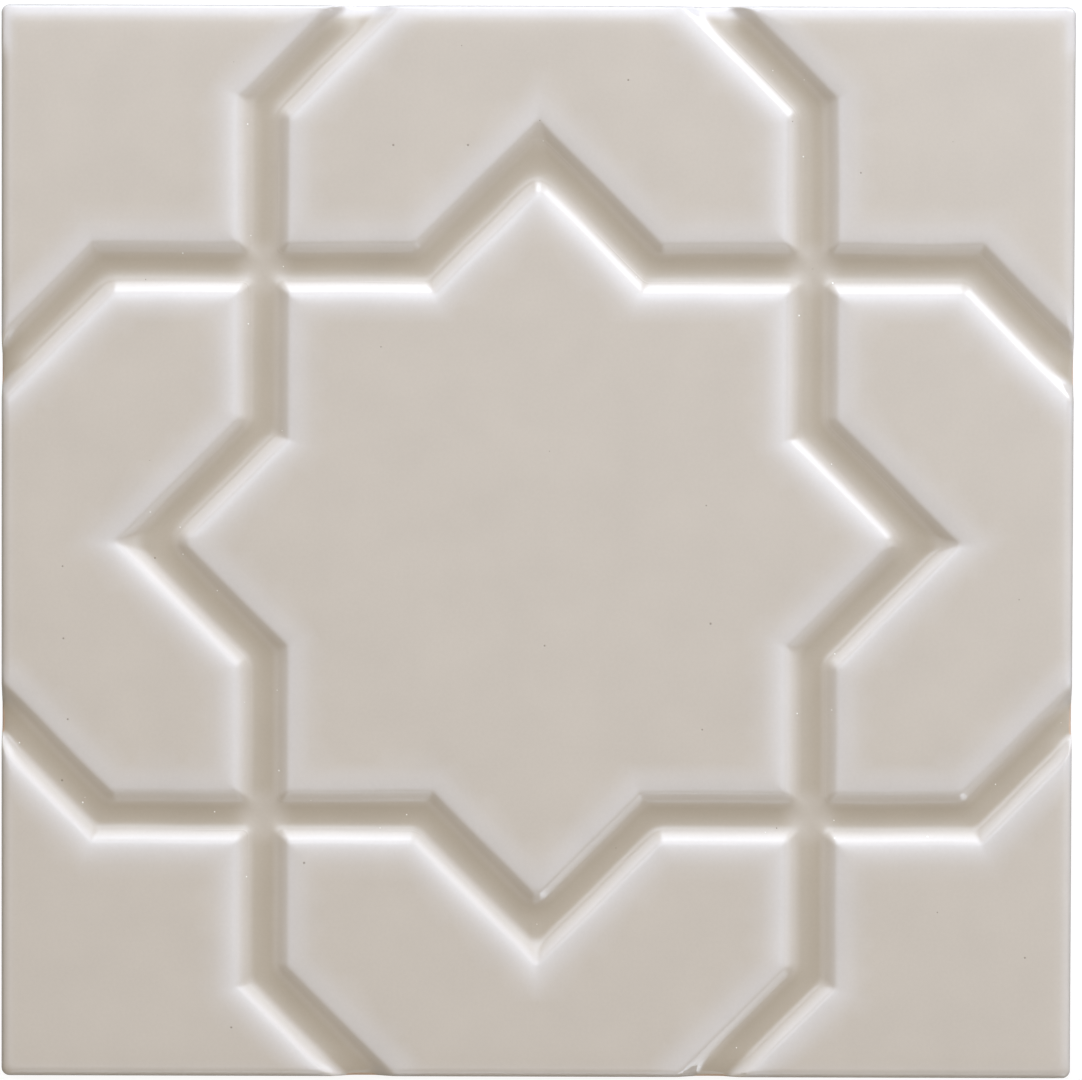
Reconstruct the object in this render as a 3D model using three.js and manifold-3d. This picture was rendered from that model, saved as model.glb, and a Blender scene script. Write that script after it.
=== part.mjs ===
// A square glazed ceramic wall tile with a star-and-cross relief.
//
// Millimetres, +Z up. The tile lies on its back with its glazed face up. The origin is the
// middle of the back, and the tile's sides are along X and Y.
//
// The relief is the common star-and-cross lattice. Eight-pointed stars stand on every corner
// and centre of a square module, pointed crosses fill the spaces between them, and a groove
// runs between each star and its crosses. One module is the tile and its share of the joint,
// so the grooves run on across the joint into the next tile.

import * as THREE from "three";
import Module from "manifold-3d";

// Tile
const TILE_SIDE = 148; // across the face, edge to edge
const JOINT_WIDTH = 3.5; // between two tiles on the wall
const THICKNESS = 9; // from the back to the tops of the panels
const CORNER_RADIUS = 1.1; // of the outline, seen from above
const SIDE_DRAFT = 0.4; // the back is this much smaller than the face on each side

// Rounded rim of the face
const RIM_RUN = 1.4; // how far in from the side the rounding starts
const RIM_DROP = 1.4; // how far down the side it ends
const RIM_STEPS = 5;
const RIM_ROLL_RUN = 5; // how far in the face starts to roll off towards the rim
const RIM_ROLL_DROP = 0.16; // how far that takes it down at the side
const RIM_ROLL_STEPS = 3;
const CORNER_STEPS = 4;

// A groove's section. Each run is measured level, and each slope, rise over run, is the one
// that its stretch ends with. Together they make the grooves 1.7 mm deep.
const FLOOR_WIDTH = 2; // of the level floor
const WALL_FOOT_RUN = 1.3; // of the curve from the floor into the wall
const WALL_RUN = 0.95; // of the straight wall
const WALL_SLOPE = 0.76;
const SHOULDER_RUN = 0.6; // of the tight curve at the top of the wall
const SHOULDER_SLOPE = 0.2;
const ROLL_OFF_RUN = 2.05; // of the slow curve from the shoulder to the level panel
const CURVE_STEPS = 3; // in each of those curves

// Where a groove runs out at the side, its floor is rounded down
const GROOVE_END_RUN = 3.6;
const GROOVE_END_DROP = 1.2;

// Keying channels in the back
const CHANNEL_COUNT = 8;
const CHANNEL_WIDTH = 9; // at the back
const CHANNEL_DEPTH = 0.9;
const CHANNEL_SLOPE = 0.6; // how much each side of a channel leans in over its depth
const CHANNEL_MARGIN = 9; // of plain back all round the channels

const GLAZE = { color: 0xc8c0b6, roughness: 0.15, metalness: 0.0 };

const wasm = await Module();
wasm.setup();

// A star is a regular octagram of two squares. This is half of a square's side, and from it
// come how far the other square's corners reach and where the squares' sides cross.
const starReach = (TILE_SIDE + JOINT_WIDTH) / 4;
const starTip = starReach * Math.SQRT2;
const starNotch = starReach * (Math.SQRT2 - 1);

// Makes a geometry from a solid.
function toGeometry(solid) {
  const mesh = solid.getMesh();
  const geometry = new THREE.BufferGeometry();
  geometry.setAttribute("position", new THREE.BufferAttribute(mesh.vertProperties, 3));
  geometry.setIndex(new THREE.BufferAttribute(mesh.triVerts, 1));
  geometry.computeVertexNormals();
  return geometry;
}

// Stacks outlines with the same number of points, from the lowest to the highest, into one
// solid. Each level is { outline, z }, and its outline runs anticlockwise.
function loft(levels) {
  const count = levels[0].outline.length;
  const corners = levels.flatMap(({ outline, z }) => outline.flatMap((point) => [point.x, point.y, z]));
  const triangles = [];
  for (let level = 0; level + 1 < levels.length; level += 1) {
    for (let i = 0; i < count; i += 1) {
      const low = level * count + i;
      const lowNext = level * count + ((i + 1) % count);
      triangles.push(low, lowNext, lowNext + count, low, lowNext + count, low + count);
    }
  }
  const lastLevel = (levels.length - 1) * count;
  for (const [a, b, c] of THREE.ShapeUtils.triangulateShape(levels[0].outline, [])) {
    triangles.push(c, b, a);
  }
  for (const [a, b, c] of THREE.ShapeUtils.triangulateShape(levels.at(-1).outline, [])) {
    triangles.push(lastLevel + a, lastLevel + b, lastLevel + c);
  }
  const mesh = new wasm.Mesh({
    numProp: 3,
    vertProperties: new Float32Array(corners),
    triVerts: new Uint32Array(triangles),
  });
  return new wasm.Manifold(mesh);
}

// Moves every side of an anticlockwise outline inwards by the same distance, with mitred corners.
function inset(outline, distance) {
  return outline.map((point, i) => {
    const before = outline.at(i - 1);
    const after = outline[(i + 1) % outline.length];
    const sideIn = point.clone().sub(before).normalize();
    const sideOut = after.clone().sub(point).normalize();
    const normalIn = new THREE.Vector2(-sideIn.y, sideIn.x);
    const normalOut = new THREE.Vector2(-sideOut.y, sideOut.x);
    const reach = distance / (1 + normalIn.dot(normalOut));
    return point.clone().addScaledVector(normalIn.add(normalOut), reach);
  });
}

// Repeats a list of points at each quarter turn about the origin.
function fourTurns(points) {
  const origin = new THREE.Vector2();
  return [0, 1, 2, 3].flatMap((quarter) =>
    points.map((point) => point.clone().rotateAround(origin, (quarter * Math.PI) / 2))
  );
}

function shifted(outline, x, y) {
  return outline.map((point) => new THREE.Vector2(point.x + x, point.y + y));
}

// A star, along the middle of the groove around it.
function starOutline() {
  return fourTurns([
    new THREE.Vector2(starTip, 0),
    new THREE.Vector2(starReach, starNotch),
    new THREE.Vector2(starReach, starReach),
    new THREE.Vector2(starNotch, starReach),
  ]);
}

// A cross, along the middle of the groove around it. A star's tip points into each of its sides.
function crossOutline() {
  const module = 2 * starReach;
  return fourTurns([
    new THREE.Vector2(module - starTip, 0),
    new THREE.Vector2(starReach, starNotch),
    new THREE.Vector2(starReach, starReach),
    new THREE.Vector2(starNotch, starReach),
  ]);
}

// Half of the groove's section, as points from the edge of its floor out to the level panel.
// Each point is the distance from the groove's middle and the height. Along each stretch the
// slope changes evenly, so the section is a row of parabolas without a kink.
function grooveSection() {
  const stretches = [
    { run: WALL_FOOT_RUN, endSlope: WALL_SLOPE, steps: CURVE_STEPS },
    { run: WALL_RUN, endSlope: WALL_SLOPE, steps: 1 },
    { run: SHOULDER_RUN, endSlope: SHOULDER_SLOPE, steps: CURVE_STEPS },
    { run: ROLL_OFF_RUN, endSlope: 0, steps: CURVE_STEPS },
  ];
  let start = FLOOR_WIDTH / 2;
  let startRise = 0;
  let startSlope = 0;
  const points = [{ distance: start, rise: 0 }];
  for (const { run, endSlope, steps } of stretches) {
    const bend = (endSlope - startSlope) / run;
    for (let step = 1; step <= steps; step += 1) {
      const along = (run * step) / steps;
      const rise = startRise + startSlope * along + (bend * along * along) / 2;
      points.push({ distance: start + along, rise });
    }
    start += run;
    startRise += ((startSlope + endSlope) / 2) * run;
    startSlope = endSlope;
  }
  const depth = startRise;
  return points.map(({ distance, rise }) => ({ distance, z: THICKNESS - depth + rise }));
}

const section = grooveSection();
const floorLevel = section[0].z;

// One raised panel, from half-way down the body of the tile up to its level top.
function panel(outline) {
  const levels = section.map(({ distance, z }) => ({ outline: inset(outline, distance), z }));
  const root = { outline: levels[0].outline, z: floorLevel / 2 };
  return loft([root, ...levels]);
}

// The tile's outline, moved in from the sides.
function tileOutline(distance) {
  const straight = TILE_SIDE / 2 - distance - CORNER_RADIUS;
  const corner = [];
  for (let step = 0; step <= CORNER_STEPS; step += 1) {
    const angle = (step / CORNER_STEPS) * (Math.PI / 2);
    corner.push(
      new THREE.Vector2(
        straight + CORNER_RADIUS * Math.cos(angle),
        straight + CORNER_RADIUS * Math.sin(angle)
      )
    );
  }
  return fourTurns(corner);
}

// A quarter of an ellipse from the side, run inwards and drop downwards, as points. Each is the
// distance from the side and how far below the ellipse's top it lies.
function quarterEllipse(run, drop) {
  const points = [];
  for (let step = 0; step <= RIM_STEPS; step += 1) {
    const angle = (step / RIM_STEPS) * (Math.PI / 2);
    points.push({ distance: run * (1 - Math.cos(angle)), below: drop * (1 - Math.sin(angle)) });
  }
  return points;
}

// The tile without its grooves: drafted sides, and a face that rolls off to a rounded rim.
function plainTile() {
  const profile = quarterEllipse(RIM_RUN, RIM_DROP);
  for (let step = 1; step <= RIM_ROLL_STEPS; step += 1) {
    const distance = RIM_RUN + ((RIM_ROLL_RUN - RIM_RUN) * step) / RIM_ROLL_STEPS;
    profile.push({ distance, below: 0 });
  }
  const levels = profile.map(({ distance, below }) => {
    const left = 1 - distance / RIM_ROLL_RUN;
    return { outline: tileOutline(distance), z: THICKNESS - below - RIM_ROLL_DROP * left * left };
  });
  return loft([{ outline: tileOutline(SIDE_DRAFT), z: 0 }, ...levels]);
}

// All that lies below the groove floors, with the floors' rounded ends at the sides. Below
// those it flares out past the tile, which is cut from it.
function grooveBed() {
  const profile = quarterEllipse(GROOVE_END_RUN, GROOVE_END_DROP);
  const ends = profile.map(({ distance, below }) => ({ outline: tileOutline(distance), z: floorLevel - below }));
  const flare = { outline: tileOutline(-GROOVE_END_RUN), z: floorLevel - 2 * GROOVE_END_DROP };
  const foot = { outline: flare.outline, z: -GROOVE_END_DROP };
  return loft([foot, flare, ...ends]);
}

// A keying channel along Y, cut up into the back.
function keyingChannel(x) {
  const length = TILE_SIDE - 2 * CHANNEL_MARGIN;
  const slopePerHeight = CHANNEL_SLOPE / CHANNEL_DEPTH;
  const level = (z) => {
    const halfWidth = CHANNEL_WIDTH / 2 - z * slopePerHeight;
    const halfLength = length / 2 - z * slopePerHeight;
    const outline = [
      new THREE.Vector2(halfWidth, -halfLength),
      new THREE.Vector2(halfWidth, halfLength),
      new THREE.Vector2(-halfWidth, halfLength),
      new THREE.Vector2(-halfWidth, -halfLength),
    ];
    return { outline: shifted(outline, x, 0), z };
  };
  return loft([level(-CHANNEL_DEPTH), level(CHANNEL_DEPTH)]);
}

function reliefTile() {
  const module = 2 * starReach;
  const channelPitch = (TILE_SIDE - 2 * CHANNEL_MARGIN - CHANNEL_WIDTH) / (CHANNEL_COUNT - 1);
  let solid = grooveBed();
  for (const x of [-1, 0, 1]) {
    for (const y of [-1, 0, 1]) {
      const isStar = (x + y) % 2 === 0;
      const outline = isStar ? starOutline() : crossOutline();
      solid = solid.add(panel(shifted(outline, x * module, y * module)));
    }
  }
  solid = solid.intersect(plainTile());
  for (let i = 0; i < CHANNEL_COUNT; i += 1) {
    solid = solid.subtract(keyingChannel((i - (CHANNEL_COUNT - 1) / 2) * channelPitch));
  }
  return solid;
}

const tile = new THREE.Mesh(toGeometry(reliefTile()), new THREE.MeshStandardMaterial(GLAZE));
tile.name = "relief_tile";

const part = new THREE.Group();
part.add(tile);

export default part;
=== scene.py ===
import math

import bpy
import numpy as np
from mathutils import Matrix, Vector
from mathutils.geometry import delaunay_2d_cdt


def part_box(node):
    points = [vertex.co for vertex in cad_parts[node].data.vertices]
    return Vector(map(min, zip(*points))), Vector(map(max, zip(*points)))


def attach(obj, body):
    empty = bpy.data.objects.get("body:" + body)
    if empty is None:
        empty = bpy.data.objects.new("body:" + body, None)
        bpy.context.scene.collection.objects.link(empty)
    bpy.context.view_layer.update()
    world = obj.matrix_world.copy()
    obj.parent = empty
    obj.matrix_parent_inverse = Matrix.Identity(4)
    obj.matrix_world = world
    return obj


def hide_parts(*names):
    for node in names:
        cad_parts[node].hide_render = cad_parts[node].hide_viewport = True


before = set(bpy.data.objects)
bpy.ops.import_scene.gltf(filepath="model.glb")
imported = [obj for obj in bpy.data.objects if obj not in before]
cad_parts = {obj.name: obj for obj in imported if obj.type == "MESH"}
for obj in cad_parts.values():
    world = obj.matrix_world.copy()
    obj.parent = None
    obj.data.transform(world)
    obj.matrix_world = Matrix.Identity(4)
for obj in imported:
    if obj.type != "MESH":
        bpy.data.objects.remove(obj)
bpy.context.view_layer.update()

# A glazed wall tile with a star-and-cross relief, dressed for a picture from above.
#
# Metres, +Z out of the glazed face. In the picture +X is to the right and +Y is up.
# The glazed face is one height field over the tile's outline. Its points lie on rings that
# follow the grooves and the rim, so that every slope is smooth along and true across.

MM = 0.001
SQRT2 = math.sqrt(2)

# Tile
TILE_LOW, TILE_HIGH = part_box("relief_tile")
TILE_SIDE = TILE_HIGH.x - TILE_LOW.x
THICKNESS = TILE_HIGH.z - TILE_LOW.z
HALF_SIDE = TILE_SIDE / 2
JOINT_WIDTH = 3.5 * MM
CORNER_RADIUS = 1.1 * MM
SIDE_DRAFT = 0.4 * MM

# A star is a regular octagram of two squares, and REACH is half of a square's side
REACH = (TILE_SIDE + JOINT_WIDTH) / 4
TIP = REACH * SQRT2
NOTCH = REACH * (SQRT2 - 1)
MODULE = 2 * REACH

# Rounded rim of the face, and the slow roll-off of the face inside it. On the +Y side the
# rounding is tighter and the roll-off deeper than on the others.
RIM_RUN = 1.3 * MM
RIM_DROP = 1.4 * MM
RIM_ROLL_RUN = 4.0 * MM
RIM_ROLL_DROP = 0.13 * MM
TOP_RIM_RUN = 0.45 * MM
TOP_RIM_DROP = 1.1 * MM
TOP_ROLL_RUN = 3.0 * MM
TOP_ROLL_DROP = 0.31 * MM
ROLL_POWER = 1.7
TOP_RIM_START = 8 * MM
TOP_RIM_END = 5 * MM
RIM_LEVEL = THICKNESS - RIM_DROP

# Section of the grooves, as distances from the middle. Slopes are rise over run.
FLOOR_EDGE = 1.15 * MM
FLOOR_SLOPE = 0.16
WALL_FOOT_END = 2.6 * MM
WALL_SLOPE = 0.78
WALL_TOP = 3.15 * MM
SHOULDER_END = 3.75 * MM
SHOULDER_SLOPE = 0.2
ROLL_OFF_END = 6.8 * MM
PROFILE_SAMPLES = 681

# Where a groove runs out at the side, its floor is rounded down
GROOVE_END_RUN = 3.6 * MM
GROOVE_END_DROP = 1.2 * MM

# How round the pattern's corners are across a groove. Positive distances run into the panel
# whose tip points at the groove, negative ones into the panel with the notch. They are taken
# in a pattern whose corners are rounded by LOOKUP_ROUND, so that no crease runs through a
# corner. Corners are tighter where two grooves cross, and where a groove bends by only
# 45 degrees.
LOOKUP_ROUND = 1.0 * MM
CORNER_DISTANCES = np.array([-3.3, -2.7, -1.0, 0, 1.0, 1.9, 3.3, 6.5]) * MM
CORNER_ROUNDS = np.array([0.7, 1.1, 2.4, 3.8, 3.7, 3.1, 1.2, 2.2]) * MM
TIGHT_START = 5.5 * MM
TIGHT_END = 10 * MM
TIGHT_SHARE = 0.32
BEND_SHARE = 0.28

# Slight unevenness of the pressed and glazed surface, each with the seed of its random field.
# A field is a sum of waves, whose lengths are spread about the one that it is asked for.
GROOVE_WANDER = 0.15 * MM
GROOVE_WANDER_LENGTH = 16 * MM
GROOVE_WANDER_SEED = 3
FACE_WAVE = 0.018 * MM
FACE_WAVE_LENGTH = 11 * MM
FACE_WAVE_SEED = 5
FIELD_WAVES = 9
FIELD_SHORTEST = 0.7
FIELD_LONGEST = 1.6

# Fine ridges where thick glaze has crept down some of the walls. A ridge begins where its
# random field passes RIDGE_START, and has its full height from RIDGE_FULL on.
RIDGE_DISTANCE = 2.0 * MM
RIDGE_WIDTH = 0.05 * MM
RIDGE_HEIGHT = 0.02 * MM
RIDGE_LENGTH = 30 * MM
RIDGE_SEED = 7
RIDGE_START = 0.1
RIDGE_FULL = 0.25

# Keying channels in the back
CHANNEL_COUNT = 8
CHANNEL_WIDTH = 9 * MM
CHANNEL_DEPTH = 0.9 * MM
CHANNEL_SLOPE = 0.6 * MM
CHANNEL_MARGIN = 9 * MM
CHANNEL_CORNER = 1.2 * MM
BACK_ARRIS = 0.35 * MM

# Glaze: where it ends on the sides, how thick it is there, where it pools, and where it thins, which is
# partly thinner glaze and partly a painted highlight
GLAZE_LINE = 5.1 * MM
GLAZE_LINE_WANDER = 1.0 * MM
GLAZE_LINE_LENGTH = 9 * MM
GLAZE_LINE_SEED = 11
GLAZE_LINE_LIFT = 1.55 * MM
GLAZE_THICKNESS = 0.12 * MM
POOL_START = 1.0 * MM
POOL_END = 2.2 * MM
CROSSING_START = 2.0 * MM
CROSSING_END = 4.6 * MM
CROSSING_POOL = 0.3
# The lighter, bluer colour on the grooves' shoulders and at the rim is partly thinner glaze and partly
# a painted highlight. At the rim it is fullest on the +Y side, which faces the lights.
THIN_AND_SHEEN_START = 2.45 * MM
THIN_AND_SHEEN_PEAK = 3.9 * MM
THIN_AND_SHEEN_END = 7.4 * MM
THIN_AND_SHEEN_POWER = 0.8
RIM_THIN_AND_SHEEN_SHARE = 0.35
RIM_THIN_AND_SHEEN_START = 0.8 * MM
RIM_THIN_AND_SHEEN_END = 2.3 * MM

# Gloss and texture of the glaze. Most values of a noise lie between NOISE_LOW and NOISE_HIGH.
# Dots are on DOTTED_SHARE of their cells. Each one's size is drawn between DOT_SMALLEST and
# DOT_LARGEST times the radius, and it is flat on top out to DOT_TOP of its size.
GLAZE_ROUGHNESS = 0.11
GLAZE_IOR = 1.5
NOISE_LOW = 0.3
NOISE_HIGH = 0.7
DOTTED_SHARE = 0.2
DOT_SMALLEST = 0.5
DOT_LARGEST = 1.5
DOT_TOP = 0.3
CLOUD_SIZE = 9 * MM
CLOUD_CONTRAST = 0.02
FLECK_SIZE = 0.45 * MM
FLECK_CONTRAST = 0.012
PINHOLE_SPACING = 11 * MM
PINHOLE_RADIUS = 0.15 * MM
PINHOLE_DEPTH = 0.036 * MM
PINHOLE_STAIN = 0.7
# Bubbles are raised dots in the grooves. Their white colour is a painted glint.
BUBBLE_GLINT_SPACING = 4.5 * MM
BUBBLE_GLINT_RADIUS = 0.11 * MM
BUBBLE_HEIGHT = 0.03 * MM
PEEL_SIZE = 1.1 * MM
PEEL_HEIGHT = 0.003 * MM

# Texture of the bare clay, and of the glaze's lower edge
CLAY_ROUGHNESS = 0.88
GRAIN_SIZE = 0.9 * MM
GRAIN_HEIGHT = 0.08 * MM
GRAIN_STRENGTH = 0.5
GRAIN_SHARE = 0.6
CLAY_CLOUD_SIZE = 12 * MM
GLAZE_EDGE_SIZE = 1.5 * MM
GLAZE_EDGE_WANDER = 0.15 * MM
GLAZE_EDGE_BLUR = 0.03 * MM

# Spacing of the mesh's points
STEP_ALONG = 1.25 * MM
STEP_CORNER = 0.33 * MM
CORNER_REACH = 2.6 * MM
CORNER_STEPS = 6
STEP_FLAT = 2.4 * MM
GAP_ROUND_FLAT = STEP_FLAT / 3
STEP_BACK = 4.0 * MM
GROOVE_RINGS = np.array(
    [0, 0.4, 0.8, 1.05, 1.25, 1.5, 1.75, 1.9, 1.95, 2.0, 2.05, 2.1]
    + [2.3, 2.6, 2.85, 3.1, 3.25, 3.4, 3.55, 3.75, 4, 4.4, 5, 5.8, 6.8]
) * MM
RIM_RINGS = np.array([0, 0.03, 0.1, 0.2, 0.35, 0.55, 0.8, 1.1, 1.4, 1.8, 2.5, 3.6, 5.0]) * MM
CHANNEL_RINGS = np.array([-0.2, 0, 0.1, 0.22, 0.35, 0.5, 0.65, 0.85]) * MM
SIDE_ROWS = 16
ARRIS_ROWS = 3
CONTOUR_TRIES = 4
LEAST_STEEPNESS = 0.25
SMALL_STEP = 0.01 * MM
SLIVER_HEIGHT = 0.001 * MM

# Camera, straight above but for a slight lean towards the top of the picture
CAMERA_LENS = 200
CAMERA_DISTANCE = 0.829
CAMERA_AIM = Vector((0.52 * MM, 0.43 * MM, THICKNESS))
CAMERA_LEAN = math.radians(1.77)
CAMERA_ROLL = math.radians(0.17)

# Studio. The floor lies a hair below the tile's back, so that the two planes don't coincide.
FLOOR_REACH = 2.5
FLOOR_GAP = 0.03 * MM
FLOOR_GLOW = 0.9
FLOOR_GREY = 0.15
SURROUND_COLOUR = (1, 0.71, 0.22, 1)
SURROUND_STRENGTH = 0.265

# Each light is its azimuth from +Y towards +X and its angle from straight overhead, in
# degrees, and how bright its middle is. Most of the light comes from the +Y side, high and low.
LIGHT_DISTANCE = 1.4
LIGHT_TINT = (0.90, 1.0, 1.16)
LIGHT_SPREAD = math.radians(9)
LIGHT_EDGE = 2.5
LIGHTS = [
    (0, 28, 3.7),
    (0, 42, 1.4),
    (0, 56, 1.6),
    (0, 70, 3.6),
    (0, 86, 7.5),
    (22, 76, 2.0),
    (45, 28, 1.8),
    (45, 42, 1.4),
    (45, 56, 1.9),
    (45, 70, 0.2),
    (45, 86, 10.5),
    (60, 14, 0.8),
    (90, 28, 0.7),
    (90, 70, 0.2),
    (90, 86, 1.5),
    (150, 86, 7.0),
    (180, 70, 2.2),
    (315, 28, 2.9),
    (315, 70, 2.4),
]

# Fields over the face


def smooth_max(a, b, radius):
    """The higher of two fields. An edge between two at right angles is an arc of the radius."""
    gap = np.abs(a - b)
    under_root = np.maximum(2 * radius**2 - gap**2, 0)
    rounded = (a + b - np.sqrt(under_root)) / 2 + radius
    return np.where(gap < radius, rounded, np.maximum(a, b))


def smooth_min(a, b, radius):
    return -smooth_max(-a, -b, radius)


def smooth_step(value, start, end):
    share = np.clip((value - start) / (end - start), 0, 1)
    return share * share * (3 - 2 * share)


def star_depth(x, y, tip_round, bend_round):
    """How far inside the outline of a star a point lies, which is negative outside it."""
    diagonal = (x + y) / SQRT2
    cross_diagonal = (x - y) / SQRT2
    upright = smooth_min(REACH - np.abs(x), REACH - np.abs(y), tip_round)
    turned = smooth_min(REACH - np.abs(diagonal), REACH - np.abs(cross_diagonal), tip_round)
    return smooth_max(upright, turned, bend_round)


def pattern_depth(x, y, star_round, cross_round):
    """How far a point lies from the middle of the grooves, positive in stars."""
    bend_round = BEND_SHARE * cross_round
    middle_star = star_depth(x, y, star_round, bend_round)
    corner_star = star_depth(np.abs(x) - MODULE, np.abs(y) - MODULE, star_round, bend_round)
    return smooth_max(middle_star, corner_star, cross_round)


def wander(x, y, wavelength, seed):
    """A smooth random field between -1 and 1."""
    random = np.random.default_rng(seed)
    total = np.zeros_like(x)
    for _ in range(FIELD_WAVES):
        angle = random.uniform(0, 2 * math.pi)
        phase = random.uniform(0, 2 * math.pi)
        number = 2 * math.pi / (wavelength * random.uniform(FIELD_SHORTEST, FIELD_LONGEST))
        total += np.sin(number * (x * math.cos(angle) + y * math.sin(angle)) + phase)
    return total / FIELD_WAVES


def crossing_distance(x, y):
    """How far a point lies from the nearest place where two grooves cross."""
    return np.hypot(np.abs(x) - REACH, np.abs(y) - REACH)


def groove_offset(x, y):
    """How far a point lies from the middle of the nearest groove, as pressed, positive in stars."""
    tightness = 1 - smooth_step(crossing_distance(x, y), TIGHT_START, TIGHT_END)
    share = 1 - (1 - TIGHT_SHARE) * tightness
    least_round = share * LOOKUP_ROUND
    nearly = pattern_depth(x, y, least_round, least_round)
    star_round = share * np.interp(nearly, CORNER_DISTANCES, CORNER_ROUNDS)
    cross_round = share * np.interp(-nearly, CORNER_DISTANCES, CORNER_ROUNDS)
    unevenness = GROOVE_WANDER * wander(x, y, GROOVE_WANDER_LENGTH, GROOVE_WANDER_SEED)
    return pattern_depth(x, y, star_round, cross_round) + unevenness


def edge_distance(x, y):
    """How far in from the tile's side a point lies."""
    return HALF_SIDE - smooth_max(np.abs(x), np.abs(y), CORNER_RADIUS)


def top_share(y):
    """How far the rim has changed to that of the +Y side."""
    return smooth_step(y, HALF_SIDE - TOP_RIM_START, HALF_SIDE - TOP_RIM_END)


# Sections


def groove_slope(distance):
    """A dished floor, a wall that rises out of it, a tight shoulder and a slow roll-off."""
    floor = FLOOR_SLOPE * np.clip(distance / FLOOR_EDGE, 0, 1)
    wall = (WALL_SLOPE - FLOOR_SLOPE) * smooth_step(distance, FLOOR_EDGE, WALL_FOOT_END)
    left = np.clip((ROLL_OFF_END - distance) / (ROLL_OFF_END - SHOULDER_END), 0, 1)
    above_wall = smooth_step(distance, WALL_TOP, SHOULDER_END)
    return (floor + wall) * (1 - above_wall) + SHOULDER_SLOPE * left**2 * above_wall


def groove_profile():
    """Distances from the groove's middle and the depth below the panel at each."""
    distances = np.linspace(0, ROLL_OFF_END, PROFILE_SAMPLES)
    slopes = groove_slope(distances)
    rises = (slopes[1:] + slopes[:-1]) / 2 * np.diff(distances)
    heights = np.concatenate([[0], np.cumsum(rises)])
    return distances, heights[-1] - heights


PROFILE_DISTANCES, PROFILE_DEPTHS = groove_profile()


def quarter_round(distance, run, drop):
    """How far a quarter of an ellipse has dropped, at a distance from where it ends."""
    share = np.clip(1 - distance / run, 0, 1)
    return drop * (1 - np.sqrt(1 - share * share))


def glaze_ridge(offset, x, y):
    """Height of the fine ridge, which runs along one wall of a groove here and there."""
    field = np.sign(offset) * wander(x, y, RIDGE_LENGTH, RIDGE_SEED)
    share = smooth_step(field, RIDGE_START, RIDGE_FULL)
    return RIDGE_HEIGHT * share * np.exp(-(((np.abs(offset) - RIDGE_DISTANCE) / RIDGE_WIDTH) ** 2))


def rim_drop(x, y):
    """How far the face has dropped towards the tile's side, leaving the grooves aside."""
    edge = edge_distance(x, y)
    roll_off = RIM_ROLL_DROP * np.clip(1 - edge / RIM_ROLL_RUN, 0, 1) ** ROLL_POWER
    top_roll_off = TOP_ROLL_DROP * np.clip(1 - edge / TOP_ROLL_RUN, 0, 1) ** ROLL_POWER
    rim = quarter_round(edge, RIM_RUN, RIM_DROP) + roll_off
    top_rim = quarter_round(edge, TOP_RIM_RUN, TOP_RIM_DROP) + top_roll_off
    return rim + (top_rim - rim) * top_share(y)


def face_height(x, y):
    edge = edge_distance(x, y)
    offset = groove_offset(x, y)
    groove = np.abs(offset)
    floor_share = 1 - smooth_step(groove, FLOOR_EDGE, WALL_TOP)
    groove_drop = np.interp(groove, PROFILE_DISTANCES, PROFILE_DEPTHS)
    groove_drop += floor_share * quarter_round(edge, GROOVE_END_RUN, GROOVE_END_DROP)
    both_drops = np.cbrt(groove_drop**3 + rim_drop(x, y) ** 3)
    wave = FACE_WAVE * (1 + wander(x, y, FACE_WAVE_LENGTH, FACE_WAVE_SEED))
    return THICKNESS - both_drops - wave + glaze_ridge(offset, x, y)


def channel_centres():
    pitch = (TILE_SIDE - 2 * CHANNEL_MARGIN - CHANNEL_WIDTH) / (CHANNEL_COUNT - 1)
    return [(i - (CHANNEL_COUNT - 1) / 2) * pitch for i in range(CHANNEL_COUNT)]


def back_height(x, y):
    height = np.zeros_like(x)
    for centre in channel_centres():
        across = CHANNEL_WIDTH / 2 - np.abs(x - centre)
        along = HALF_SIDE - CHANNEL_MARGIN - np.abs(y)
        inside = smooth_min(across, along, CHANNEL_CORNER)
        height += CHANNEL_DEPTH * smooth_step(inside, 0, CHANNEL_SLOPE)
    return height


def glaze_line(x, y):
    """Height on the side at which the glaze ends. It is higher where a groove runs out.

    On the +Y side the glaze has run down over the groove's end.
    """
    line = GLAZE_LINE + GLAZE_LINE_WANDER * wander(x, y, GLAZE_LINE_LENGTH, GLAZE_LINE_SEED)
    in_groove = 1 - smooth_step(np.abs(groove_offset(x, y)), FLOOR_EDGE, WALL_TOP)
    at_side = 1 - smooth_step(edge_distance(x, y), GLAZE_THICKNESS, CORNER_RADIUS)
    covered = smooth_step(y, HALF_SIDE - 2 * CORNER_RADIUS, HALF_SIDE - CORNER_RADIUS)
    return line + GLAZE_LINE_LIFT * in_groove * at_side * (1 - covered)


# Outlines


def four_turns(points):
    """Repeats a list of points at each quarter turn about the origin."""
    turned = []
    for quarter in range(4):
        turn = Matrix.Rotation(quarter * math.pi / 2, 2)
        turned += [turn @ Vector(point) for point in points]
    return turned


def panel_outline(tip):
    """The outline of a star, or of a cross if its tips point inwards."""
    return four_turns([(tip, 0), (REACH, NOTCH), (REACH, REACH), (NOTCH, REACH)])


def inset(outline, distance):
    """Moves every side of an anticlockwise outline inwards, with mitred corners."""
    moved = []
    for i, point in enumerate(outline):
        side_in = (point - outline[i - 1]).normalized()
        side_out = (outline[(i + 1) % len(outline)] - point).normalized()
        normal_in = Vector((-side_in.y, side_in.x))
        normal_out = Vector((-side_out.y, side_out.x))
        reach = distance / (1 + normal_in.dot(normal_out))
        moved.append(point + (normal_in + normal_out) * reach)
    return moved


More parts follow.
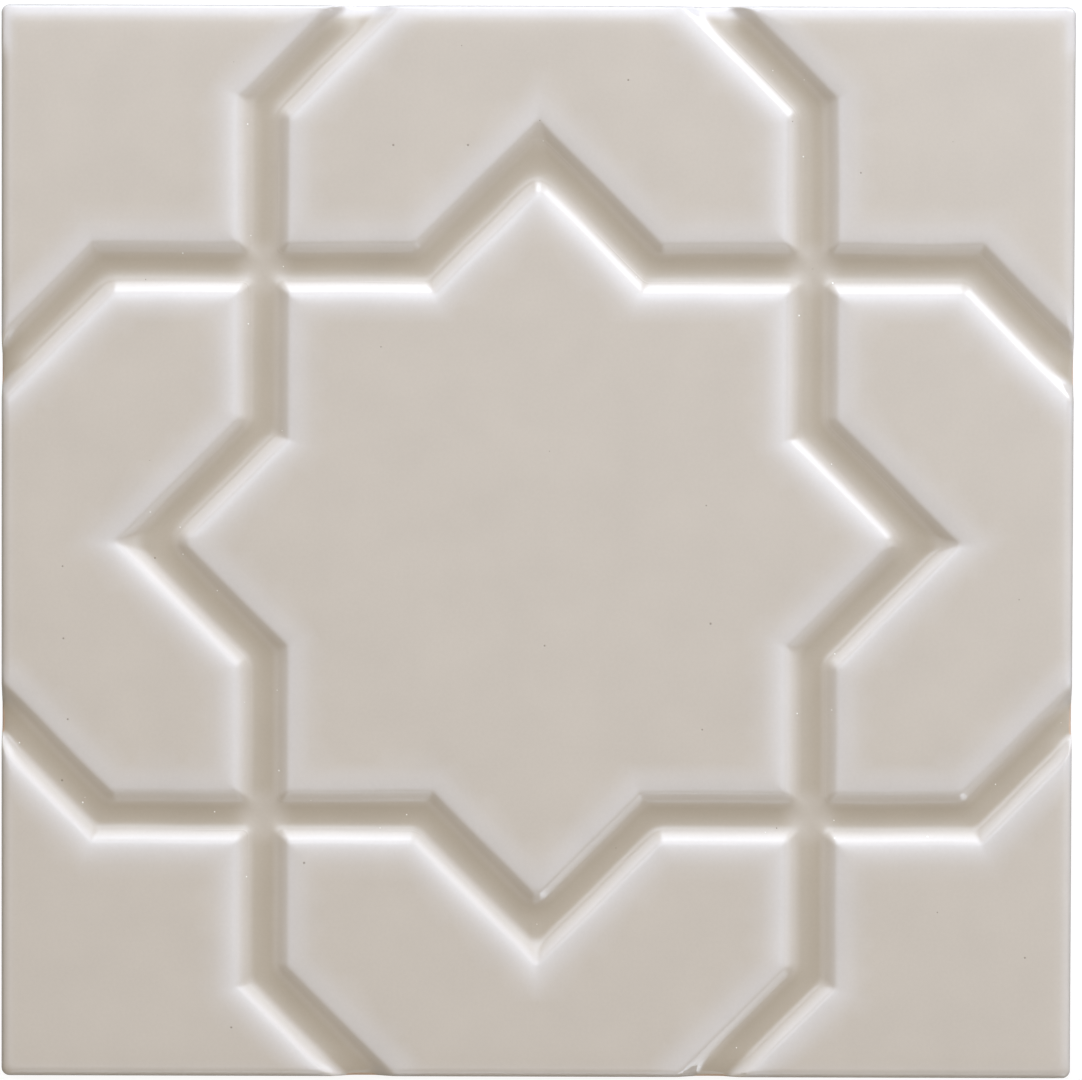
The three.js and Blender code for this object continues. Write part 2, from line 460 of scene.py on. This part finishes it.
def side_shares(length):
    """Where the points of one side of the pattern go, closer together near its ends."""
    near_start = np.arange(0, CORNER_REACH, STEP_CORNER)
    middle = length - 2 * CORNER_REACH
    count = round(middle / STEP_ALONG)
    between = CORNER_REACH + np.linspace(0, middle, count + 1)
    near_end = length - near_start[:0:-1]
    return np.concatenate([near_start, between, near_end]) / length


SIDE_SHARES = side_shares(SQRT2 * (REACH - NOTCH))


def subdivided(outline):
    points = []
    for i, start in enumerate(outline):
        end = outline[(i + 1) % len(outline)]
        points += [tuple(start.lerp(end, share)) for share in SIDE_SHARES]
    return np.array(points)


def onto_contour(points, level):
    """Moves points that lie near a contour of the groove's offset on to it."""
    for _ in range(CONTOUR_TRIES):
        x, y = points.T
        value = groove_offset(x, y)
        slope_x = (groove_offset(x + SMALL_STEP, y) - value) / SMALL_STEP
        slope_y = (groove_offset(x, y + SMALL_STEP) - value) / SMALL_STEP
        steepness = np.maximum(slope_x**2 + slope_y**2, LEAST_STEEPNESS)
        step = (level - value) / steepness
        points = points + np.stack([step * slope_x, step * slope_y], 1)
    return points


def tile_outline(distance):
    """Points round the tile's outline, moved in from the sides."""
    straight = HALF_SIDE - distance - CORNER_RADIUS
    quarter = []
    for step in range(CORNER_STEPS + 1):
        angle = step / CORNER_STEPS * math.pi / 2
        along, across = math.cos(angle), math.sin(angle)
        quarter.append((straight + CORNER_RADIUS * along, straight + CORNER_RADIUS * across))
    side_count = round(TILE_SIDE / STEP_ALONG)
    for i in range(1, side_count):
        quarter.append((straight * (1 - 2 * i / side_count), straight + CORNER_RADIUS))
    return np.array([tuple(point) for point in four_turns(quarter)])


def channel_outline(centre, distance):
    """Points round a keying channel, moved in from its edge."""
    half_width = CHANNEL_WIDTH / 2 - distance
    half_length = HALF_SIDE - CHANNEL_MARGIN - distance
    corners = [(1, -1), (1, 1), (-1, 1), (-1, -1)]
    places = [Vector((centre + across * half_width, along * half_length)) for across, along in corners]
    points = []
    for i, start in enumerate(places):
        end = places[(i + 1) % len(places)]
        count = round((end - start).length / (STEP_BACK / 2))
        points += [tuple(start.lerp(end, step / count)) for step in range(count)]
    return np.array(points)


# Plane meshes


class PlaneNet:
    """Points and chains in the plane, triangulated so that every chain keeps its edges."""

    def __init__(self, boundary):
        self.points = []
        self.edges = []
        self.boundary_count = len(boundary)
        self.add_chain(boundary, np.full(len(boundary), True))

    def add_chain(self, points, keep):
        """Adds the points to keep of a closed chain, joined where two neighbours are kept."""
        places = np.full(len(points), -1)
        places[keep] = len(self.points) + np.arange(np.count_nonzero(keep))
        self.points += [tuple(point) for point in points[keep]]
        pairs = zip(places.tolist(), np.roll(places, -1).tolist())
        self.edges += [(start, end) for start, end in pairs if start >= 0 and end >= 0]

    def add_grid(self, spacing, keep):
        """Scatters a staggered grid and keeps the points where keep(x, y) is true."""
        rows = round(TILE_SIDE / (spacing * math.sqrt(3) / 2))
        columns = round(TILE_SIDE / spacing)
        row, column = np.meshgrid(np.arange(rows + 1), np.arange(columns + 1), indexing="ij")
        x = (-HALF_SIDE + (column + 0.5 * (row % 2)) * spacing).ravel()
        y = (-HALF_SIDE + row * TILE_SIDE / rows).ravel()
        kept = keep(x, y)
        self.points += list(zip(x[kept].tolist(), y[kept].tolist()))

    def triangulated(self):
        """Returns the points, the triangles, and the boundary as places in the points.

        A boundary's points are in line only to within rounding, so slivers can lie along it.
        They would stand up as thin walls once the points are lifted, and are left out.
        """
        corners = [Vector(point) / MM for point in self.points]
        tolerance = SLIVER_HEIGHT / MM
        found = delaunay_2d_cdt(corners, self.edges, [], 0, tolerance, True)
        points = np.array([tuple(place) for place in found[0]]) * MM
        triangles = np.array(found[2])
        new_place = {source: i for i, sources in enumerate(found[3]) for source in sources}
        boundary = [new_place[i] for i in range(self.boundary_count)]

        a, b, c = (points[triangles[:, i]] for i in range(3))
        ab, ac, bc = b - a, c - a, c - b
        double_area = ab[:, 0] * ac[:, 1] - ab[:, 1] * ac[:, 0]
        longest = np.max([np.hypot(*side.T) for side in (ab, ac, bc)], axis=0)
        on_boundary = np.isin(triangles, boundary).all(axis=1)
        sliver = on_boundary & (np.abs(double_area) < SLIVER_HEIGHT * longest)
        return points, triangles[~sliver], boundary


def face_net():
    net = PlaneNet(tile_outline(0))
    for distance in RIM_RINGS[1:]:
        ring = tile_outline(distance)
        net.add_chain(ring, np.full(len(ring), True))
    for column in (-1, 0, 1):
        for row in (-1, 0, 1):
            is_star = (column + row) % 2 == 0
            outline = panel_outline(TIP if is_star else MODULE - TIP)
            for distance in GROOVE_RINGS if is_star else GROOVE_RINGS[1:]:
                ring = subdivided(inset(outline, distance)) + np.array([column, row]) * MODULE
                near = edge_distance(*ring.T) > -CORNER_REACH
                ring[near] = onto_contour(ring[near], distance if is_star else -distance)
                net.add_chain(ring, edge_distance(*ring.T) > RIM_RINGS[1] / 2)

    def on_flat(x, y):
        in_panel = np.abs(groove_offset(x, y)) > GROOVE_RINGS[-1] + GAP_ROUND_FLAT
        return in_panel & (edge_distance(x, y) > RIM_RINGS[-1] + GAP_ROUND_FLAT)

    net.add_grid(STEP_FLAT, on_flat)
    return net


def back_net(boundary):
    net = PlaneNet(boundary)
    for centre in channel_centres():
        for distance in CHANNEL_RINGS:
            ring = channel_outline(centre, distance)
            net.add_chain(ring, np.full(len(ring), True))

    def on_flat(x, y):
        height = back_height(x, y)
        is_level = (height == 0) | (height == CHANNEL_DEPTH)
        return is_level & (edge_distance(x, y) > STEP_BACK)

    net.add_grid(STEP_BACK, on_flat)
    return net


def side_rows(top_heights):
    """Rings of points down the side, from below the face to the back, as lists of rows."""
    outer = tile_outline(0)
    inward = (tile_outline(MM) - outer) / MM
    line = glaze_line(*outer.T)
    rows = []

    def side_inset(height):
        bare = 1 - smooth_step(height, line - 2 * GLAZE_THICKNESS, line + GLAZE_THICKNESS)
        return SIDE_DRAFT * np.clip(1 - height / RIM_LEVEL, 0, 1) + GLAZE_THICKNESS * bare

    for row in range(1, SIDE_ROWS + 1):
        height = top_heights + (BACK_ARRIS - top_heights) * row / SIDE_ROWS
        place = outer + inward * side_inset(height)[:, None]
        rows.append(np.column_stack([place, height]))
    for row in range(1, ARRIS_ROWS + 1):
        angle = row / ARRIS_ROWS * math.pi / 2
        height = np.full(len(outer), BACK_ARRIS * (1 - math.sin(angle)))
        round_in = BACK_ARRIS * (1 - math.cos(angle))
        place = outer + inward * (side_inset(height) + round_in)[:, None]
        rows.append(np.column_stack([place, height]))
    return rows


# Tile


def build_tile():
    face_points, face_triangles, face_edge = face_net().triangulated()
    face = np.column_stack([face_points, face_height(*face_points.T)])
    rows = side_rows(face[face_edge][:, 2])
    back_points, back_triangles, back_edge = back_net(rows[-1][:, :2]).triangulated()
    back = np.column_stack([back_points, back_height(*back_points.T)])

    vertices = np.concatenate([face] + rows[:-1] + [back])
    count = len(face_edge)
    loops = [np.array(face_edge)]
    loops += [len(face) + row * count + np.arange(count) for row in range(len(rows) - 1)]
    back_start = len(face) + (len(rows) - 1) * count
    loops.append(back_start + np.array(back_edge))
    faces = face_triangles.tolist()
    for upper, lower in zip(loops, loops[1:]):
        quads = np.column_stack([upper, lower, np.roll(lower, -1), np.roll(upper, -1)])
        faces += quads.tolist()
    faces += (back_start + back_triangles[:, ::-1]).tolist()

    mesh = bpy.data.meshes.new("glazed_tile")
    mesh.from_pydata(vertices.tolist(), [], faces)
    mesh.shade_smooth()
    add_attributes(mesh, vertices, len(face))
    tile = bpy.data.objects.new("glazed_tile", mesh)
    bpy.context.collection.objects.link(tile)
    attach(tile, "root")
    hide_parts("relief_tile")
    return tile


def add_attributes(mesh, vertices, face_count):
    """Stores what the materials need to know about each point."""
    x, y, z = vertices.T
    on_face = np.arange(len(vertices)) < face_count
    groove = np.abs(groove_offset(x, y))
    at_crossing = 1 - smooth_step(crossing_distance(x, y), CROSSING_START, CROSSING_END)
    near_rim = 1 - smooth_step(edge_distance(x, y), RIM_THIN_AND_SHEEN_START, RIM_THIN_AND_SHEEN_END)
    pool = 1 - smooth_step(groove, POOL_START, POOL_END)
    pool *= 1 - (1 - CROSSING_POOL) * at_crossing
    pool *= 1 - near_rim * top_share(y)
    # Lighter, bluer colour on the shoulders and at the rim: partly thinner glaze, partly a painted
    # highlight, fullest at the +Y rim, which faces the lights
    rising = np.clip((groove - THIN_AND_SHEEN_START) / (THIN_AND_SHEEN_PEAK - THIN_AND_SHEEN_START), 0, 1)
    falling = np.clip((THIN_AND_SHEEN_END - groove) / (THIN_AND_SHEEN_END - THIN_AND_SHEEN_PEAK), 0, 1)
    rim_share = RIM_THIN_AND_SHEEN_SHARE + (1 - RIM_THIN_AND_SHEEN_SHARE) * top_share(y)
    rim_thin_and_sheen = rim_share * near_rim * (1 - pool)
    on_top = on_face * (1 - near_rim)
    values = {
        "on_top": on_top,
        "in_groove": on_top * (1 - smooth_step(groove, WALL_FOOT_END, WALL_TOP)),
        "pool": on_face * pool,
        "thin_glaze_and_sheen": on_face * np.maximum(rising * falling**THIN_AND_SHEEN_POWER, rim_thin_and_sheen),
        "glaze_rise": z - glaze_line(x, y),
    }
    for name, value in values.items():
        stored = mesh.attributes.new(name, "FLOAT", "POINT")
        stored.data.foreach_set("value", value.astype(np.float32))


# Materials


def add_node(tree, kind, inputs, **settings):
    """Adds a node. An input is a value, or an output socket to link."""
    node = tree.nodes.new(kind)
    for name, value in settings.items():
        setattr(node, name, value)
    for socket, value in inputs.items():
        if isinstance(value, bpy.types.NodeSocket):
            tree.links.new(value, node.inputs[socket])
        else:
            node.inputs[socket].default_value = value
    return node


def attribute(tree, name):
    return add_node(tree, "ShaderNodeAttribute", {}, attribute_name=name).outputs["Fac"]


def calculate(tree, operation, *values):
    inputs = dict(enumerate(values))
    return add_node(tree, "ShaderNodeMath", inputs, operation=operation).outputs[0]


def remap(tree, value, low, high, to_low=0.0, to_high=1.0):
    inputs = {"Value": value, "From Min": low, "From Max": high, "To Min": to_low, "To Max": to_high}
    return add_node(tree, "ShaderNodeMapRange", inputs).outputs["Result"]


def mix_colours(tree, share, first, second):
    inputs = {0: share, 6: first, 7: second}
    return add_node(tree, "ShaderNodeMix", inputs, data_type="RGBA").outputs[2]


def noise(tree, place, size, detail=2.0):
    """Noise whose features are about the given size across."""
    inputs = {"Vector": place, "Scale": 1 / size, "Detail": detail}
    return add_node(tree, "ShaderNodeTexNoise", inputs).outputs["Fac"]


def contrast_noise(tree, place, size, middle, contrast):
    """Noise that lies about a middle value, and mostly within the contrast of it."""
    low, high = middle - contrast, middle + contrast
    return remap(tree, noise(tree, place, size), NOISE_LOW, NOISE_HIGH, low, high)


def dots(tree, place, spacing, radius, where):
    """Scattered round dots, 1 on top of each and 0 outside, times a mask of where they are.

    They are the same at every height, so the mask leaves out the sides.
    """
    inputs = {"Vector": place, "Scale": 1 / spacing}
    cells = add_node(tree, "ShaderNodeTexVoronoi", inputs, voronoi_dimensions="2D")
    random = add_node(tree, "ShaderNodeSeparateColor", {"Color": cells.outputs["Color"]})
    picked = calculate(tree, "LESS_THAN", random.outputs["Red"], DOTTED_SHARE)
    smallest = DOT_SMALLEST * radius / spacing
    largest = DOT_LARGEST * radius / spacing
    size = remap(tree, random.outputs["Green"], 0, 1, smallest, largest)
    dome = remap(tree, calculate(tree, "DIVIDE", cells.outputs["Distance"], size), 1, DOT_TOP)
    return calculate(tree, "MULTIPLY", calculate(tree, "MULTIPLY", dome, picked), where)


def glaze_shader(tree, place):
    panel = (0.582, 0.529, 0.478, 1)
    pooled = (0.490, 0.430, 0.360, 1)
    # Lighter and bluer than the panel: thinner glaze, and partly a painted highlight
    thin_glaze_and_sheen_colour = (0.665, 0.633, 0.626, 1)
    burnt = (0.20, 0.155, 0.115, 1)
    white = (0.97, 0.97, 0.96, 1)
    colour = mix_colours(tree, attribute(tree, "pool"), panel, pooled)
    colour = mix_colours(tree, attribute(tree, "thin_glaze_and_sheen"), colour, thin_glaze_and_sheen_colour)

    cloud = contrast_noise(tree, place, CLOUD_SIZE, 0, CLOUD_CONTRAST)
    fleck = contrast_noise(tree, place, FLECK_SIZE, 1, FLECK_CONTRAST)
    brightness = calculate(tree, "ADD", cloud, fleck)
    varied = add_node(tree, "ShaderNodeVectorMath", {0: colour, "Scale": brightness}, operation="SCALE")

    pinhole = dots(tree, place, PINHOLE_SPACING, PINHOLE_RADIUS, attribute(tree, "on_top"))
    stain = calculate(tree, "MULTIPLY", pinhole, PINHOLE_STAIN)
    colour = mix_colours(tree, stain, varied.outputs[0], burnt)
    # Bubbles: a raised bump, painted near white as a painted glint
    bubble_and_glint = dots(tree, place, BUBBLE_GLINT_SPACING, BUBBLE_GLINT_RADIUS, attribute(tree, "in_groove"))
    colour = mix_colours(tree, bubble_and_glint, colour, white)

    # The bump's heights are counted in PEEL_HEIGHT
    peel = noise(tree, place, PEEL_SIZE, detail=1.0)
    raised = calculate(tree, "MULTIPLY", bubble_and_glint, BUBBLE_HEIGHT / PEEL_HEIGHT)
    dented = calculate(tree, "MULTIPLY_ADD", pinhole, -PINHOLE_DEPTH / PEEL_HEIGHT, raised)
    height = calculate(tree, "ADD", peel, dented)
    bump = add_node(tree, "ShaderNodeBump", {"Height": height, "Distance": PEEL_HEIGHT})
    inputs = {"Base Color": colour, "Roughness": GLAZE_ROUGHNESS, "IOR": GLAZE_IOR}
    inputs["Normal"] = bump.outputs[0]
    return add_node(tree, "ShaderNodeBsdfPrincipled", inputs).outputs[0]


def bisque_shader(tree, place):
    pale = (0.62, 0.46, 0.35, 1)
    dark = (0.50, 0.36, 0.27, 1)
    grain = noise(tree, place, GRAIN_SIZE, detail=4.0)
    cloud = noise(tree, place, CLAY_CLOUD_SIZE)
    cloud_part = calculate(tree, "MULTIPLY", cloud, 1 - GRAIN_SHARE)
    share = calculate(tree, "MULTIPLY_ADD", grain, GRAIN_SHARE, cloud_part)
    colour = mix_colours(tree, share, dark, pale)
    inputs = {"Height": grain, "Strength": GRAIN_STRENGTH, "Distance": GRAIN_HEIGHT}
    bump = add_node(tree, "ShaderNodeBump", inputs)
    inputs = {"Base Color": colour, "Roughness": CLAY_ROUGHNESS, "Normal": bump.outputs[0]}
    return add_node(tree, "ShaderNodeBsdfPrincipled", inputs).outputs[0]


def tile_material():
    material = bpy.data.materials.new("glazed_clay")
    material.use_nodes = True
    tree = material.node_tree
    tree.nodes.clear()
    place = add_node(tree, "ShaderNodeTexCoord", {}).outputs["Object"]
    edge_noise = noise(tree, place, GLAZE_EDGE_SIZE)
    wavering = remap(tree, edge_noise, 0, 1, -GLAZE_EDGE_WANDER, GLAZE_EDGE_WANDER)
    rise = calculate(tree, "ADD", attribute(tree, "glaze_rise"), wavering)
    glazed = remap(tree, rise, -GLAZE_EDGE_BLUR, GLAZE_EDGE_BLUR)
    inputs = {0: glazed, 1: bisque_shader(tree, place), 2: glaze_shader(tree, place)}
    shader = add_node(tree, "ShaderNodeMixShader", inputs)
    add_node(tree, "ShaderNodeOutputMaterial", {"Surface": shader.outputs[0]})
    return material


# Studio


def build_floor():
    """A pale floor that shows nearly white, and throws only a little light up at the tile."""
    corners = [(-1, -1), (1, -1), (1, 1), (-1, 1)]
    mesh = bpy.data.meshes.new("floor")
    points = [(x * FLOOR_REACH, y * FLOOR_REACH, -FLOOR_GAP) for x, y in corners]
    mesh.from_pydata(points, [], [(0, 1, 2, 3)])
    floor = bpy.data.objects.new("floor", mesh)
    bpy.context.collection.objects.link(floor)
    material = bpy.data.materials.new("floor_white")
    material.use_nodes = True
    tree = material.node_tree
    tree.nodes.clear()
    seen = add_node(tree, "ShaderNodeLightPath", {}).outputs["Is Camera Ray"]
    strength = calculate(tree, "MULTIPLY", seen, FLOOR_GLOW)
    glow = add_node(tree, "ShaderNodeEmission", {"Strength": strength})
    grey = (FLOOR_GREY, FLOOR_GREY, FLOOR_GREY, 1)
    matt = add_node(tree, "ShaderNodeBsdfDiffuse", {"Color": grey})
    both = add_node(tree, "ShaderNodeAddShader", {0: glow.outputs[0], 1: matt.outputs[0]})
    add_node(tree, "ShaderNodeOutputMaterial", {"Surface": both.outputs[0]})
    mesh.materials.append(material)


def build_camera():
    data = bpy.data.cameras.new("camera")
    data.lens = CAMERA_LENS
    camera = bpy.data.objects.new("camera", data)
    bpy.context.collection.objects.link(camera)
    back = Vector((0, math.sin(CAMERA_LEAN), math.cos(CAMERA_LEAN)))
    place = Matrix.Translation(CAMERA_AIM + back * CAMERA_DISTANCE)
    lean = Matrix.Rotation(-CAMERA_LEAN, 4, "X")
    roll = Matrix.Rotation(CAMERA_ROLL, 4, "Z")
    camera.matrix_world = place @ lean @ roll
    bpy.context.scene.camera = camera


def soft_light(azimuth, from_top, radiance):
    """A light that faces the tile and fades towards its edges, LIGHT_EDGE spreads off its middle.

    One spread off its middle it has faded to 0.6.
    """
    size = 2 * LIGHT_EDGE * LIGHT_DISTANCE * math.tan(LIGHT_SPREAD)
    data = bpy.data.lights.new("soft_light", "AREA")
    data.shape = "SQUARE"
    data.size = size
    data.energy = radiance * math.pi * size**2
    data.color = LIGHT_TINT
    data.use_nodes = True
    tree = data.node_tree
    across = add_node(tree, "ShaderNodeNewGeometry", {}).outputs["Parametric"]
    inputs = {0: across, 1: (0.5, 0.5, 0)}
    off_middle = add_node(tree, "ShaderNodeVectorMath", inputs, operation="DISTANCE").outputs["Value"]
    spreads = calculate(tree, "MULTIPLY", off_middle, 2 * LIGHT_EDGE)
    squared = calculate(tree, "POWER", spreads, 2)
    fade = calculate(tree, "EXPONENT", calculate(tree, "MULTIPLY", squared, -0.5))
    tree.links.new(fade, tree.nodes["Emission"].inputs["Strength"])
    light = bpy.data.objects.new("soft_light", data)
    bpy.context.collection.objects.link(light)
    light.visible_camera = False
    turn, lean = math.radians(azimuth), math.radians(from_top)
    sideways = math.sin(lean)
    away = Vector((math.sin(turn) * sideways, math.cos(turn) * sideways, math.cos(lean)))
    light.location = away * LIGHT_DISTANCE
    light.rotation_euler = away.to_track_quat("Z", "Y").to_euler()


def build_world():
    """A weak warm light from all round, behind a plain white backdrop."""
    world = bpy.data.worlds.new("studio")
    world.use_nodes = True
    tree = world.node_tree
    tree.nodes.clear()
    seen = add_node(tree, "ShaderNodeLightPath", {}).outputs["Is Camera Ray"]
    inputs = {"Color": SURROUND_COLOUR, "Strength": SURROUND_STRENGTH}
    warm = add_node(tree, "ShaderNodeBackground", inputs)
    white = add_node(tree, "ShaderNodeBackground", {"Color": (1, 1, 1, 1)})
    inputs = {0: seen, 1: warm.outputs[0], 2: white.outputs[0]}
    mixed = add_node(tree, "ShaderNodeMixShader", inputs)
    add_node(tree, "ShaderNodeOutputWorld", {"Surface": mixed.outputs[0]})
    bpy.context.scene.world = world


build_tile().data.materials.append(tile_material())
build_floor()
build_camera()
build_world()
for light_azimuth, light_from_top, light_radiance in LIGHTS:
    soft_light(light_azimuth, light_from_top, light_radiance)
bpy.context.scene.view_settings.view_transform = "Standard"
